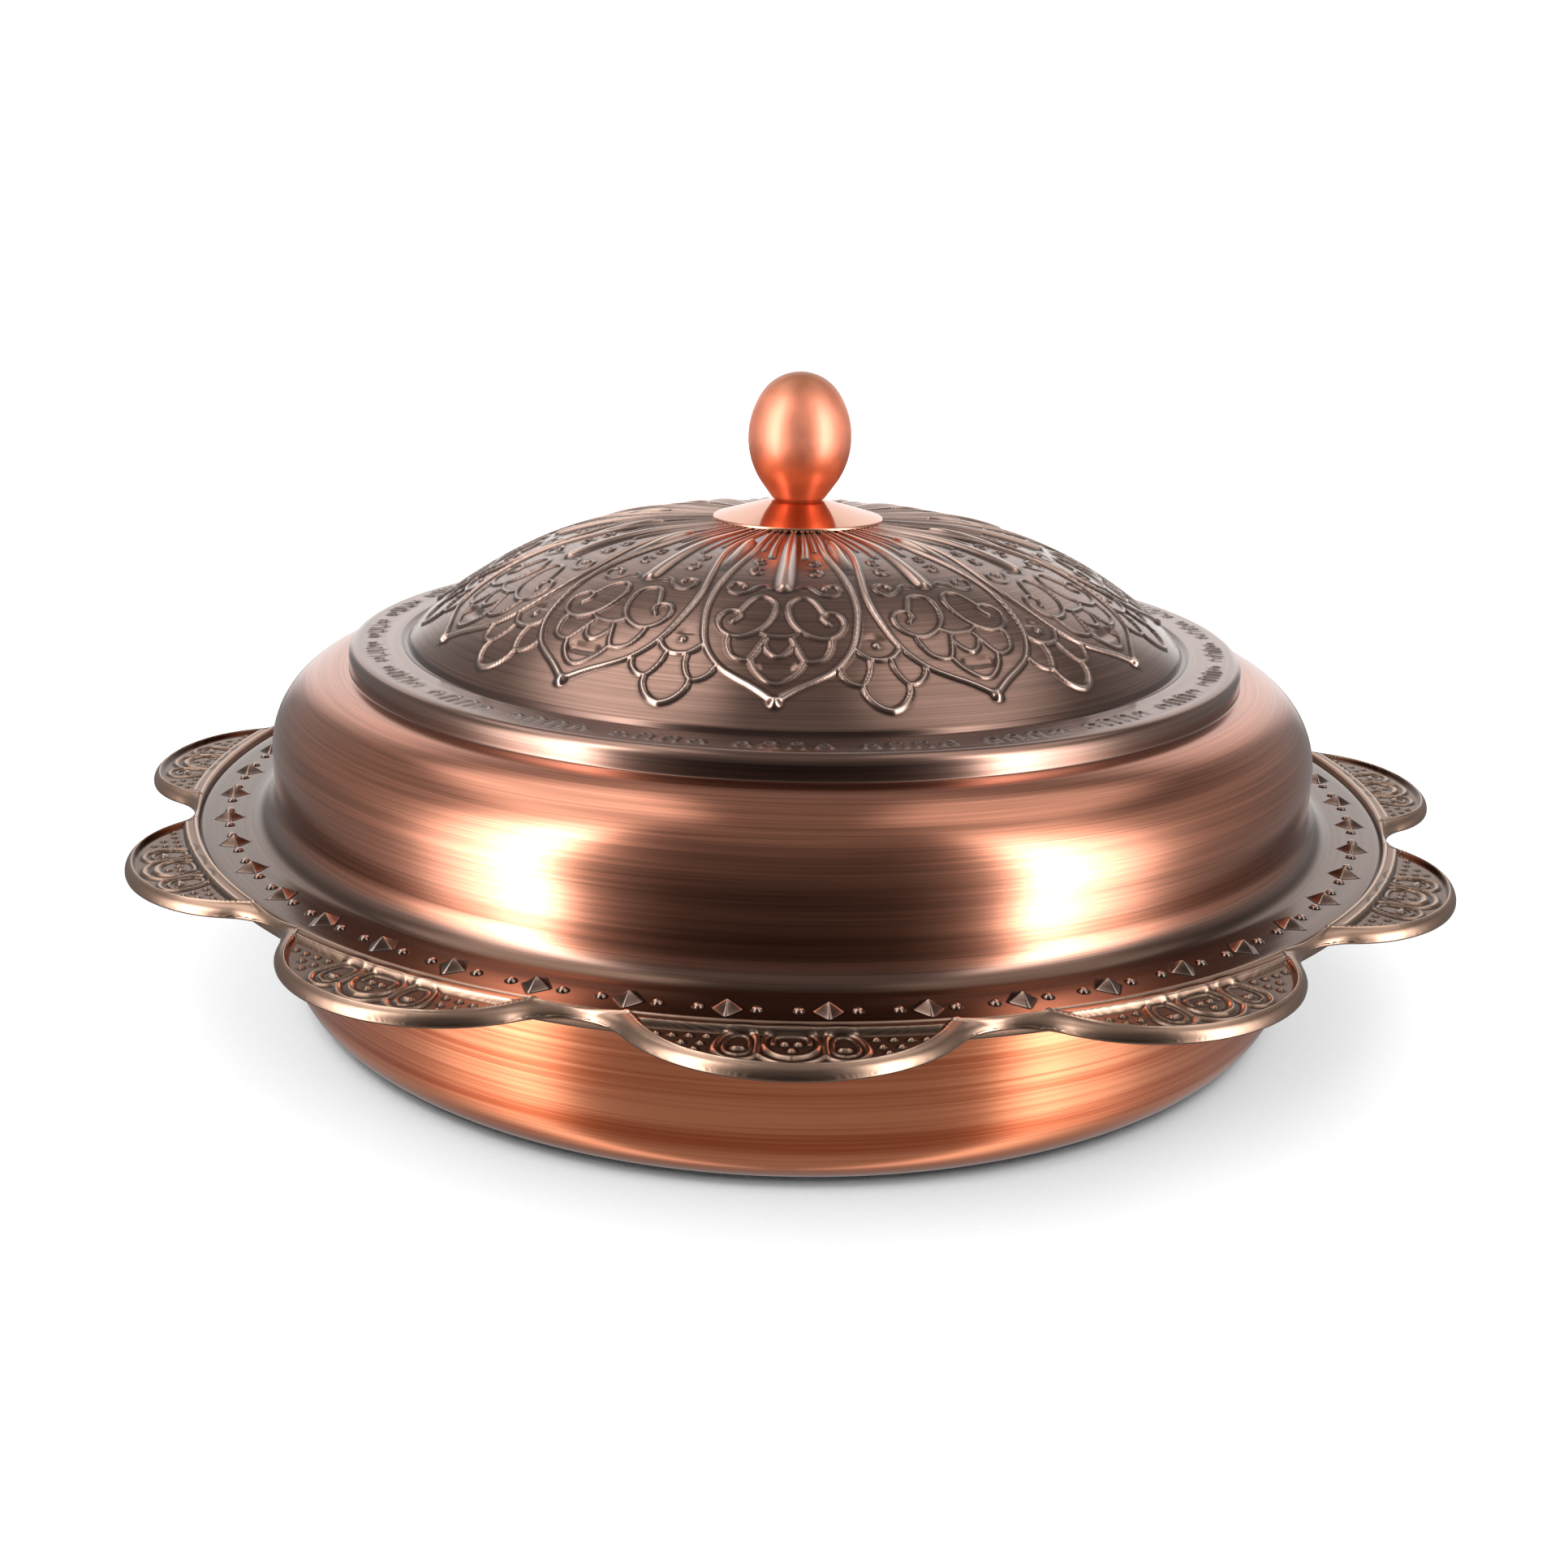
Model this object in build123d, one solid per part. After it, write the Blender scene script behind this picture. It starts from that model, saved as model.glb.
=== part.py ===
"""Covered copper dish for Turkish delight: a low pan, a scalloped rim and a domed lid.

Millimetres, +Z up. The origin is the middle of the flat base, and one lobe of the rim points to -Y.
The dish (pan and rim) stays on the table. The lid lifts straight off and rests on the rim's flat seat.
"""
from build123d import *
from math import acos, asin, atan2, cos, degrees, hypot, sin, sqrt, tan
import os

# ---- driving dimensions -------------------------------------------------------------------------
sheet = 1.0                # thickness of every pressed copper sheet

seat_z = 35.0              # top of the rim's flat seat, which carries the lid
mouth_r = 103.0            # outside of the pan's wall at the mouth
base_corner_r = 8.5        # outside radius between wall and base
base_r = 92.6              # where that corner meets the flat base
lip_r = 112.0              # edge of the pan's turned-out lip
lip_bend = 2.0             # outside radius under the lip

lobe_count = 12
lobe_centre_r = 106.8      # each lobe is part of an ellipse centred here
lobe_half_width = 31.0     # half the ellipse along the rim
lobe_reach = 22.5          # half the ellipse across the rim
valley_r = 4.5             # hollow rounding between two lobes
rim_inner_r = 104.5
border_z = 37.2            # top of the rolled border
border_low_z = 35.0        # its outer edge
panel_z = 36.0             # floor of the sunk panels
border_round = 1.7         # rounding of the border's outer top edge
border_width = 4.0
panel_inner_r = 117.6      # inner side of the sunk panel in each lobe
lid_clearance = 0.4        # play between the lid's flange and the step round it

flange_r = 115.0           # outside of the lid's flange
gem_count = 48             # four-sided studs pressed up out of the flange
gem_ring_r = 110.0
gem_long = 5.6             # across the flange
gem_wide = 4.4             # along the flange
gem_rise = 1.6

wall_r = 101.5             # outside of the lid's upright wall
foot_bend = 5.0            # outside radius between wall and flange
shoulder_round = 14.8      # outside radius of the shoulder
shoulder_top_z = 62.7
ledge_z = 66.9             # top of the narrow ledge round the dome
ledge_round = 1.9
dome_r = 75.3
dome_rise = 21.9
dome_crown_round = 495.0   # the dome's middle is nearly flat
dome_side_round = 76.0     # and its side is rounder
dome_base_z = 67.3
groove_depth = 0.6         # round groove where the dome meets the ledge
groove_width = 1.6

rosette_r = 16.65
rosette_thick = 0.8
rosette_flat_r = 5.2       # middle of the bend between the flat under the knob and the slope
rosette_play = 0.03        # gap between the rosette's edge and the dome
knob_r = 10.0
knob_foot_r = 5.06
knob_high = 24.35
knob_z = 92.8              # the rosette's flat
knob_wide_z = 12.0         # height of the widest place above the foot
knob_side_r = 15.1         # radius of the side below it

screw_r = 2.0              # M4
screw_clearance = 0.2      # radial, in the sheets and the washer
thread_depth = 9.0
washer_r = 6.0
washer_thick = 1.0
washer_play = 0.04         # the dome curves down to the flat washer's edge by this much
head_r = 4.0
head_high = 2.6
head_round = 1.6
slot_width = 1.0
slot_depth = 1.2

# ---- what follows from them ---------------------------------------------------------------------
dome_top_z = dome_base_z + dome_rise
step_r = flange_r + lid_clearance
hole_r = screw_r + screw_clearance
shoulder_r = wall_r - shoulder_round
shoulder_z = shoulder_top_z - shoulder_round
washer_z = dome_top_z - sheet - washer_play - washer_thick


def turned(outline, name):
    """Solid of revolution about Z from a closed outline drawn in the XZ plane."""
    body = revolve(make_face(Plane.XZ * outline), Axis.Z)
    body.label = name
    return body


# ---- the dish -----------------------------------------------------------------------------------
def pan_wall(offset):
    """Pan's profile from the axis to the lip's edge, moved inwards from the outside by offset."""
    bend_r = mouth_r + lip_bend
    bend_z = seat_z - 2 * sheet - lip_bend
    across = bend_r - base_r
    up = bend_z - base_corner_r
    lean = degrees(atan2(across, up) - asin((base_corner_r + lip_bend) / hypot(across, up)))
    corner = CenterArc((base_r, base_corner_r), base_corner_r - offset, -90, 90 - lean)
    bend = CenterArc((bend_r, bend_z), lip_bend + offset, 180 - lean, lean - 90)
    return [
        Line((0, offset), corner @ 0),
        corner,
        Line(corner @ 1, bend @ 0),
        bend,
        Line(bend @ 1, (lip_r, bend_z + lip_bend + offset)),
    ]


def make_bowl():
    """Low pan pressed from one sheet, with a near-upright wall and a flat turned-out lip."""
    outside = pan_wall(0)
    inside = pan_wall(sheet)
    edge = Line((lip_r, seat_z - 2 * sheet), (lip_r, seat_z - sheet))
    axis_end = Line((0, 0), (0, sheet))
    return turned(Curve() + outside + inside + [edge, axis_end], "bowl")


def lobes(inset):
    """The twelve ellipses that make the lobes, all drawn in by inset."""
    lobe = Ellipse(lobe_reach - inset, lobe_half_width - inset)
    places = PolarLocations(lobe_centre_r, lobe_count, start_angle=-90)
    return Sketch() + [place * lobe for place in places]


def scallop(inset):
    """Whole scalloped outline with rounded valleys, drawn in by inset."""
    outline = lobes(inset) + Circle(lobe_centre_r)
    valleys = [v for v in outline.vertices() if hypot(v.X, v.Y) < lobe_centre_r + lobe_reach / 2]
    return fillet(valleys, valley_r + inset)


def panels(inset, inner_r):
    """Sunk D-shaped panels, one in each lobe."""
    return lobes(inset) - Circle(inner_r)


def make_scalloped_rim():
    """Pressed ring: flat seat, raised step, sunk panels and a rounded border that is hollow beneath."""
    ring = Pos(0, 0, border_low_z) * extrude(scallop(0), border_z - border_low_z)
    ring = fillet(ring.edges().group_by(Axis.Z)[-1], border_round)
    ring -= Pos(0, 0, border_low_z) * extrude(Circle(step_r), border_z - border_low_z)
    ring -= Pos(0, 0, panel_z) * extrude(panels(border_width, panel_inner_r), border_z - panel_z)
    hollow = scallop(sheet) - Circle(panel_inner_r) - panels(border_width - sheet, panel_inner_r)
    ring -= Pos(0, 0, border_low_z) * extrude(hollow, border_z - border_low_z - sheet)
    seat = Circle(step_r + sheet) - Circle(rim_inner_r)
    ring += Pos(0, 0, seat_z - sheet) * extrude(seat, sheet)
    ring.label = "scalloped_rim"
    return ring


# ---- the lid ------------------------------------------------------------------------------------
def dome_curve(depth):
    """Two tangent arcs from the screw hole to the dome's base, at depth under the outer face."""
    crown_z = dome_top_z - dome_crown_round
    centre_gap = dome_crown_round - dome_side_round
    base_high = dome_base_z - crown_z
    base_far = hypot(dome_r, base_high)
    between = acos((centre_gap ** 2 + base_far ** 2 - dome_side_round ** 2) / (2 * centre_gap * base_far))
    lean = atan2(dome_r, base_high) - between
    side_centre = (centre_gap * sin(lean), crown_z + centre_gap * cos(lean))
    hole_lean = degrees(asin(hole_r / (dome_crown_round - depth)))
    base_lean = degrees(asin((dome_r - side_centre[0]) / dome_side_round))
    lean = degrees(lean)
    crown = CenterArc((0, crown_z), dome_crown_round - depth, 90 - hole_lean, hole_lean - lean)
    side = CenterArc(side_centre, dome_side_round - depth, 90 - lean, lean - base_lean)
    return crown, side


def flange_studs():
    """Ring of four-sided studs on the flange, with a gap between two of them at -Y."""
    half_long, half_wide = gem_long / 2, gem_wide / 2
    base = Polygon((half_long, 0), (0, half_wide), (-half_long, 0), (0, -half_wide))
    gem = Pos(0, 0, seat_z + sheet) * loft([base.face(), Vertex(0, 0, gem_rise)])
    half_pitch = 180 / gem_count
    places = PolarLocations(gem_ring_r, gem_count, start_angle=half_pitch - 90)
    return [place * gem for place in places]


def make_lid_shell():
    """Lid pressed from one sheet: flange, upright wall, round shoulder, ledge, groove and dome."""
    foot_x = wall_r + foot_bend
    foot_z = seat_z + sheet + foot_bend
    groove_mid = dome_r + groove_width / 2
    ledge_in = dome_r + groove_width
    ledge_arc_r = shoulder_r - ledge_round
    crown, side = dome_curve(0)
    outside = [
        crown,
        side,
        ThreePointArc(side @ 1, (groove_mid, ledge_z - groove_depth), (ledge_in, ledge_z)),
        Line((ledge_in, ledge_z), (ledge_arc_r, ledge_z)),
        CenterArc((ledge_arc_r, ledge_z - ledge_round), ledge_round, 0, 90),
        Line((shoulder_r, ledge_z - ledge_round), (shoulder_r, shoulder_top_z)),
        CenterArc((shoulder_r, shoulder_z), shoulder_round, 0, 90),
        Line((wall_r, shoulder_z), (wall_r, foot_z)),
        CenterArc((foot_x, foot_z), foot_bend, 180, 90),
        Line((foot_x, seat_z + sheet), (flange_r, seat_z + sheet)),
        Line((flange_r, seat_z + sheet), (flange_r, seat_z)),
    ]
    under_crown, under_side = dome_curve(sheet)
    ledge_under = ledge_z - groove_depth - sheet
    riser_r = shoulder_r - sheet
    inside = [
        Line((flange_r, seat_z), (foot_x, seat_z)),
        CenterArc((foot_x, foot_z), foot_bend + sheet, 180, 90),
        Line((wall_r - sheet, foot_z), (wall_r - sheet, shoulder_z)),
        CenterArc((shoulder_r, shoulder_z), shoulder_round - sheet, 0, 90),
        Line((shoulder_r, shoulder_top_z - sheet), (riser_r, shoulder_top_z - sheet)),
        Line((riser_r, shoulder_top_z - sheet), (riser_r, ledge_under)),
        Line((riser_r, ledge_under), (groove_mid, ledge_under)),
        Line((groove_mid, ledge_under), under_side @ 1),
        under_side,
        under_crown,
        Line(under_crown @ 0, crown @ 0),
    ]
    shell = turned(Curve() + outside + inside, "lid_shell")
    shell += flange_studs()
    shell.label = "lid_shell"
    return shell


def make_rosette():
    """Thin polished disc, pressed to a low cone whose round edge rests on the dome."""
    half = rosette_thick / 2
    edge_r = rosette_r - half
    crown_z = dome_top_z - dome_crown_round
    edge_z = crown_z + sqrt((dome_crown_round + half + rosette_play) ** 2 - edge_r ** 2)
    slope = atan2(knob_z - half - edge_z, edge_r - rosette_flat_r)
    shift = half * tan(slope / 2)
    over = (edge_r + half * sin(slope), edge_z + half * cos(slope))
    under = (edge_r - half * sin(slope), edge_z - half * cos(slope))
    outline = Curve() + [
        Line((hole_r, knob_z), (rosette_flat_r + shift, knob_z)),
        Line((rosette_flat_r + shift, knob_z), over),
        CenterArc((edge_r, edge_z), half, -90 - degrees(slope), 180),
        Line(under, (rosette_flat_r - shift, knob_z - rosette_thick)),
        Line((rosette_flat_r - shift, knob_z - rosette_thick), (hole_r, knob_z - rosette_thick)),
        Line((hole_r, knob_z - rosette_thick), (hole_r, knob_z)),
    ]
    return turned(outline, "rosette")


def make_knob():
    """Egg-shaped turned knob: straight taper, round side, tangent cap and a tapped blind hole."""
    side_x = knob_r - knob_side_r
    foot_x = knob_foot_r - side_x
    foot_far = hypot(foot_x, knob_wide_z)
    taper_turn = atan2(knob_wide_z, foot_x) - acos(knob_side_r / foot_far)
    taper_end = (side_x + knob_side_r * cos(taper_turn), knob_wide_z - knob_side_r * sin(taper_turn))
    crown = knob_high - knob_wide_z
    cap_r = (knob_side_r ** 2 - side_x ** 2 - crown ** 2) / (2 * (knob_side_r - crown))
    cap_z = knob_high - cap_r
    cap_turn = atan2(cap_z - knob_wide_z, -side_x)
    low, high = degrees(taper_turn), degrees(cap_turn)
    outline = Curve() + [
        Line((screw_r, 0), (knob_foot_r, 0)),
        Line((knob_foot_r, 0), taper_end),
        CenterArc((side_x, knob_wide_z), knob_side_r, -low, low + high),
        CenterArc((0, cap_z), cap_r, high, 90 - high),
        Line((0, knob_high), (0, thread_depth)),
        Line((0, thread_depth), (screw_r, thread_depth - screw_r / 2)),
        Line((screw_r, thread_depth - screw_r / 2), (screw_r, 0)),
    ]
    knob = Pos(0, 0, knob_z) * turned(outline, "knob")
    knob.label = "knob"
    return knob


def make_washer():
    """Flat washer under the dome."""
    ring = Circle(washer_r) - Circle(hole_r)
    washer = Pos(0, 0, washer_z) * extrude(ring, washer_thick)
    washer.label = "washer"
    return washer


def make_knob_screw():
    """Pan-head screw that comes up through the lid into the knob."""
    head_low = washer_z - head_high
    tip = knob_z + thread_depth - 2 * screw_r
    outline = Curve() + [
        Line((0, head_low), (head_r - head_round, head_low)),
        CenterArc((head_r - head_round, head_low + head_round), head_round, -90, 90),
        Line((head_r, head_low + head_round), (head_r, washer_z)),
        Line((head_r, washer_z), (screw_r, washer_z)),
        Line((screw_r, washer_z), (screw_r, tip)),
        Line((screw_r, tip), (0, tip)),
        Line((0, tip), (0, head_low)),
    ]
    screw = turned(outline, "knob_screw")
    slot = Pos(0, 0, head_low + slot_depth / 2) * Box(2 * head_r, slot_width, slot_depth)
    screw -= slot
    screw.label = "knob_screw"
    return screw


def main():
    os.makedirs("parts", exist_ok=True)
    pieces = [
        make_bowl(),
        make_scalloped_rim(),
        make_lid_shell(),
        make_rosette(),
        make_knob(),
        make_knob_screw(),
        make_washer(),
    ]
    for piece in pieces:
        export_step(piece, f"parts/{piece.label}.step")
        print(piece.label, round(piece.volume), "mm3")


main()
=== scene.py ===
import bpy
import numpy as np
from math import acos, asin, atan2, cos, degrees, hypot, pi, radians, sin, tan
from mathutils import Matrix, Vector


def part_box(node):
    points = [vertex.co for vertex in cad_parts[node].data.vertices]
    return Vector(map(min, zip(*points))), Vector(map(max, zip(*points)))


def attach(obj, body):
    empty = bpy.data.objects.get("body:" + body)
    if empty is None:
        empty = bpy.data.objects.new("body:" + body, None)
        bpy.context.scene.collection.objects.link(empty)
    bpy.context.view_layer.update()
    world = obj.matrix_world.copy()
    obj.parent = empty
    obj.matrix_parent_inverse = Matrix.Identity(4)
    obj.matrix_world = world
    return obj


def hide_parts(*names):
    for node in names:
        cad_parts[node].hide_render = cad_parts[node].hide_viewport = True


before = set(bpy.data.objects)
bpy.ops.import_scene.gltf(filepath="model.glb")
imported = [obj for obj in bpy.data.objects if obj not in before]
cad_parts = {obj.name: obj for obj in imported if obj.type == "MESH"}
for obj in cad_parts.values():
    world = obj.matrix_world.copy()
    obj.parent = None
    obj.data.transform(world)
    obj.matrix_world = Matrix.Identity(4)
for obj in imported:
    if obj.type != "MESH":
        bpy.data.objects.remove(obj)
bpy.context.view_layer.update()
mm = 0.001
print("frame loaded:", sorted(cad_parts))


def linear(hexColour):
    # "#rrggbb" as seen on a screen, to the linear colour that the shaders want
    channels = [int(hexColour[i:i + 2], 16) / 255 for i in (1, 3, 5)]
    return [c / 12.92 if c <= 0.04045 else ((c + 0.055) / 1.055) ** 2.4 for c in channels] + [1]


def addNode(tree, kind, settings=None, inputs=None):
    # settings go on the node, inputs are values or the sockets that feed them
    node = tree.nodes.new("ShaderNode" + kind)
    for name, value in (settings or {}).items():
        setattr(node, name, value)
    for name, value in (inputs or {}).items():
        if isinstance(value, bpy.types.NodeSocket):
            tree.links.new(value, node.inputs[name])
        else:
            node.inputs[name].default_value = value
    return node


def newMaterial(name):
    material = bpy.data.materials.new(name)
    material.use_nodes = True
    material.node_tree.nodes.clear()
    return material, material.node_tree


def smoothPath(points, step):
    # Catmull-Rom curve through given points, sampled about every step
    p = np.array(points, float)
    p = np.vstack([2 * p[0] - p[1], p, 2 * p[-1] - p[-2]])
    pieces = []
    for a, b, c, d in zip(p[:-3], p[1:-2], p[2:-1], p[3:]):
        count = max(2, int(np.linalg.norm(c - b) / step) + 1)
        t = np.linspace(0, 1, count, endpoint=False)[:, None]
        pieces.append(0.5 * (2 * b + (c - a) * t + (2 * a - 5 * b + 4 * c - d) * t ** 2
                             + (3 * b - a - 3 * c + d) * t ** 3))
    return np.vstack(pieces + [p[-2:-1]])


def arcPoints(centre, radius, start, end, count):
    a = np.radians(np.linspace(start, end, count))
    return np.column_stack([centre[0] + radius * np.cos(a), centre[1] + radius * np.sin(a)])


def linePoints(start, end, count):
    return np.linspace(start, end, count + 1)[1:]


def profileNormals(profile):
    # outward normals of a profile that runs with the metal on its right-hand side
    along = np.gradient(profile, axis=0)
    along /= np.maximum(np.linalg.norm(along, axis=1, keepdims=True), 1e-9)
    return np.column_stack([-along[:, 1], along[:, 0]])


def ringGrid(r, z, turn=0.0, columns=None):
    # (rows, columns, 3) points in mm; azimuth 0 is -Y and grows towards +X
    columns = columns or r.shape[1]
    a = np.radians(turn) + np.linspace(0, 2 * pi, columns, endpoint=False)[None, :]
    r, z = (np.broadcast_to(v, (len(v), columns)) for v in (r, z))
    return np.stack([r * np.sin(a), -r * np.cos(a), z], -1)


def gridFaces(rows, columns, start):
    index = start + np.arange(rows * columns).reshape(rows, columns)
    right = np.roll(index, -1, axis=1)
    return np.stack([index[:-1], index[1:], right[1:], right[:-1]], -1).reshape(-1, 4)


def buildPiece(name, sheets):
    # sheets: dictionaries with points (rows, columns, 3) in mm, and values for the material at each point
    points, faces, values, start = [], [], {}, 0
    for sheet in sheets:
        rows, columns = sheet["points"].shape[:2]
        points.append(sheet["points"].reshape(-1, 3))
        faces.append(gridFaces(rows, columns, start))
        for key in ("crest", "shelter", "patina"):
            value = sheet.get(key, np.zeros(rows * columns))
            values.setdefault(key, []).append(np.asarray(value).reshape(-1))
        start += rows * columns
    points, faces = np.vstack(points) * mm, np.vstack(faces)
    mesh = bpy.data.meshes.new(name)
    mesh.vertices.add(len(points))
    mesh.vertices.foreach_set("co", points.ravel().astype(np.float32))
    mesh.loops.add(faces.size)
    mesh.loops.foreach_set("vertex_index", faces.ravel().astype(np.int32))
    mesh.polygons.add(len(faces))
    mesh.polygons.foreach_set("loop_start", np.arange(0, faces.size, 4, dtype=np.int32))
    mesh.polygons.foreach_set("use_smooth", np.full(len(faces), True))
    for key, value in values.items():
        attribute = mesh.attributes.new(key, "FLOAT", "POINT")
        attribute.data.foreach_set("value", np.concatenate(value).astype(np.float32))
    mesh.update(calc_edges=True)
    mesh.validate()
    piece = bpy.data.objects.new(name, mesh)
    bpy.context.scene.collection.objects.link(piece)
    print(f"{name}: {len(points)} points, {len(faces)} faces")
    return piece


def spunPiece(name, profile, columns):
    # a profile of (radius, height) in mm, swept round the axis
    profile = np.array(profile, float)
    return buildPiece(name, [{"points": ringGrid(profile[:, :1], profile[:, 1:], 0, columns)}])


def place(piece, body, node, slot, material, mirrored=True):
    piece.data.materials.append(material)
    piece.visible_glossy = mirrored        # unmirrored rim and studs leave the walls a clean reflection
    piece.visible_diffuse = False          # no copper-coloured bounce on the white paper
    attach(piece, body)
    if node:
        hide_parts(node)


def strokeLine(points, half, rise, step=0.12):
    # path with its half width and rise at each point; each is one value, or several spread along it
    points = np.array(points, float)
    share = np.linspace(0, 1, len(points))
    spread = [np.interp(share, np.linspace(0, 1, np.size(v)), np.atleast_1d(v)) for v in (half, rise)]
    return smoothPath(np.column_stack([points, *spread]), step)


ridge = {"flatTop": 0.12, "fullCrest": 0.5, "trap": 0.4}     # share of its half width, then mm


def pressed(grid, lines):
    # grid: (rows, columns, 2) in mm. Each line from strokeLine is a ridge, or a sink where its rise is
    # negative. Returns rise in mm, crest 0..1, and the dark patina trapped beside a ridge, 0..1.
    rise = np.zeros(grid.shape[:2])
    crest = np.zeros(grid.shape[:2])
    nearest = np.full(grid.shape[:2], 1e3)
    for line in lines:
        path, half, high = line[:, :2], line[:, 2], line[:, 3]
        reach = 2.0 + half.max()
        near = np.all((grid > path.min(0) - reach) & (grid < path.max(0) + reach), axis=-1)
        if not near.any():
            continue
        gaps = np.linalg.norm(grid[near][:, None] - path[None], axis=-1)
        best = (gaps / half).argmin(1)
        share = gaps[np.arange(len(best)), best] / half[best]
        bump = 0.5 + 0.5 * np.cos(pi * np.clip((share - ridge["flatTop"]) / (1 - ridge["flatTop"]), 0, 1))
        if high.mean() < 0:
            rise[near] += high[best] * bump
            continue
        rise[near] = np.maximum(rise[near], high[best] * bump)
        crest[near] = np.maximum(crest[near], bump * np.clip(high[best] / ridge["fullCrest"], 0, 1))
        nearest[near] = np.minimum(nearest[near], (gaps - half).min(1))
    shelter = np.exp(-(np.maximum(nearest, 0) / ridge["trap"]) ** 2) * (1 - crest)
    return rise, crest, shelter


# The lid's dome, ledge, shoulder and flange are one pressed sheet
lid = {
    "sheet": 1.0,
    "columns": 1200,          # 100 to a petal, so a 1 mm ridge gets about three
    "plainColumns": 480,
    "insideColumns": 600,
    "domeR": 75.3, "domeRise": 21.9, "domeBaseZ": 67.3, "crownRound": 495.0, "sideRound": 76.0,
    "holeR": 2.2,
    "grooveWidth": 1.6, "grooveDepth": 0.6, "ledgeZ": 66.9, "ledgeRound": 1.9,
    "wallR": 101.5, "shoulderRound": 14.8, "shoulderTopZ": 62.7, "footBend": 5.0,
    "flangeR": 115.0, "seatZ": 35.0,
    "reliefFrom": 16.0, "reliefTo": 74.0, "reliefStep": 0.3,
    "joinR": 84.6,            # on the flat ledge, where the fine mesh meets the plain one
    "hollow": 0.8,            # share of the relief that shows on the inside
    "patina": 0.5,            # how much of the dark bath the brush left on the dome; the flange kept it all
    "brushedFrom": 86.9, "bathR": 101.7, "bathFade": 1.8,      # the body between is brushed bright
    "shade": 0.6, "grooveShade": 0.9,                # dark patina by the ridges; half width of the groove darkened with painted shade
}

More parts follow.
